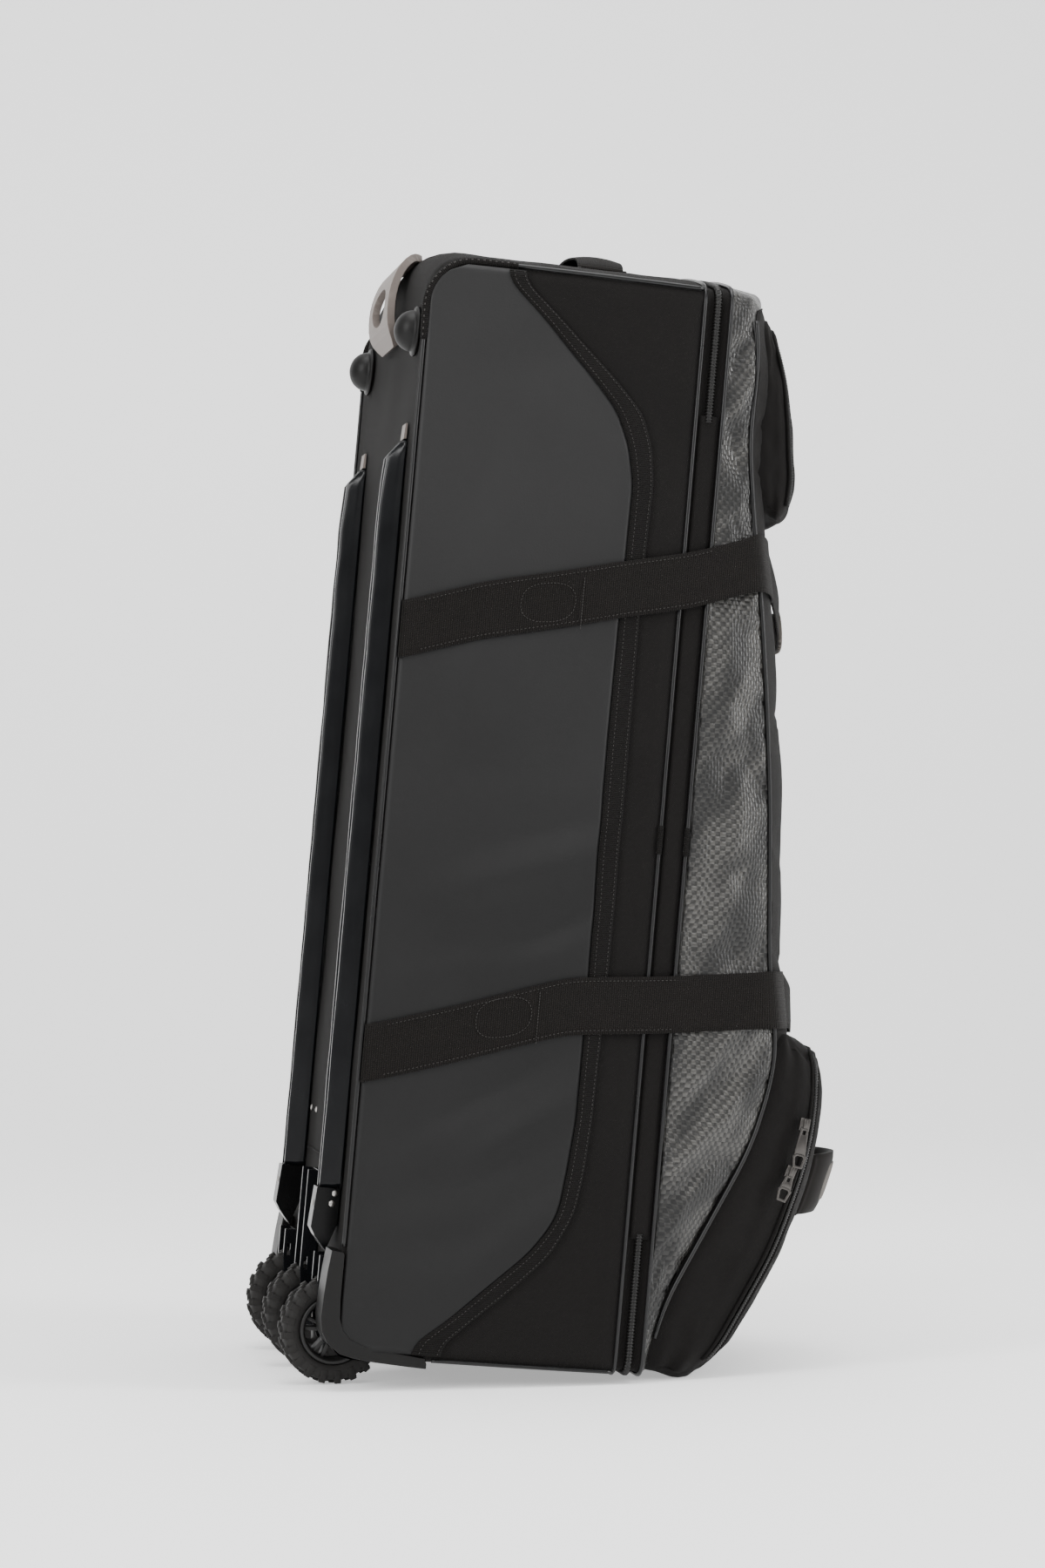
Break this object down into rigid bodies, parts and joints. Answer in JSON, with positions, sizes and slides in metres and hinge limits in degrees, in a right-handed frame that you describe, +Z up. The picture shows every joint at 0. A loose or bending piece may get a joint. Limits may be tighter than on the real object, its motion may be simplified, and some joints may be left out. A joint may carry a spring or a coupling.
{
  "type": "wheeled cricket kit bag",
  "caption": "Upright soft kit bag with a tub and zipped padded lid, front pockets, webbing carry straps, skid rails on the back and wheels under the back edge.",
  "frame": {"origin": "centre of the bounding box on the floor, with the bag standing on its wheels and its front pocket", "axes": "+Z up along the bag, +X towards the lid and pockets, +Y across the wheels"},
  "size_m": [0.5352, 0.392, 1.0159],
  "materials": {
    "woven_cloth": "fine dark polyester weave",
    "coated_cloth": "satin coated tarpaulin",
    "embossed_cloth": "shiny embossed checker weave",
    "webbing": "ribbed woven tape",
    "binding": "ribbed binding tape",
    "piping": "glossy bead",
    "zip": "moulded coil",
    "moulded_plastic": "satin moulded",
    "grey_plastic": "warm grey moulded",
    "wheel_plastic": "matte moulded",
    "tyre": "matte moulded rubber",
    "plated_metal": "plated",
    "pull_metal": "dark plated"
  },
  "bodies": {
    "bag": {"main_tub": "woven_cloth", "zip_gusset": "woven_cloth", "upper_pocket": "woven_cloth", "lower_pocket": "woven_cloth", "side_panel_left": "coated_cloth", "side_panel_right": "coated_cloth", "lid": "embossed_cloth", "panel_binding_left": "binding", "panel_binding_right": "binding", "upper_strap_left": "webbing", "upper_strap_right": "webbing", "lower_strap_left": "webbing", "lower_strap_right": "webbing", "upper_carry_loop": "webbing", "lower_carry_loop": "webbing", "top_handle": "webbing", "grab_handle": "webbing", "gusset_piping_rear": "piping", "gusset_piping_front": "piping", "side_piping_left": "piping", "side_piping_right": "piping", "lid_piping_left": "piping", "lid_piping_right": "piping", "main_zip": "zip", "upper_pocket_zip": "zip", "lower_pocket_zip": "zip", "skid_rail_left": "moulded_plastic", "skid_rail_right": "moulded_plastic", "dome_foot_left": "moulded_plastic", "dome_foot_right": "moulded_plastic", "corner_guard_left": "moulded_plastic", "corner_guard_right": "moulded_plastic", "fork_left": "moulded_plastic", "fork_middle": "moulded_plastic", "fork_right": "moulded_plastic", "haul_handle": "grey_plastic", "rail_tip_left": "grey_plastic", "rail_tip_right": "grey_plastic", "axle_left": "plated_metal", "axle_middle": "plated_metal", "axle_right": "plated_metal", "end_plate_left": "plated_metal", "end_plate_right": "plated_metal", "zip_pull_long": "pull_metal", "zip_pull_short": "pull_metal"},
    "wheel_left": {"rim_left": "wheel_plastic", "tyre_left": "tyre"},
    "wheel_middle": {"rim_middle": "wheel_plastic", "tyre_middle": "tyre"},
    "wheel_right": {"rim_right": "wheel_plastic", "tyre_right": "tyre"}
  },
  "joints": [
    {"name": "wheel_left_spin", "type": "hinge", "parent": "bag", "child": "wheel_left", "pos_m": [-0.22055, -0.122, 0.047], "axis": [0, 1, 0], "continuous": true},
    {"name": "wheel_middle_spin", "type": "hinge", "parent": "bag", "child": "wheel_middle", "pos_m": [-0.22055, 0, 0.047], "axis": [0, 1, 0], "continuous": true},
    {"name": "wheel_right_spin", "type": "hinge", "parent": "bag", "child": "wheel_right", "pos_m": [-0.22055, 0.122, 0.047], "axis": [0, 1, 0], "continuous": true}
  ]
}
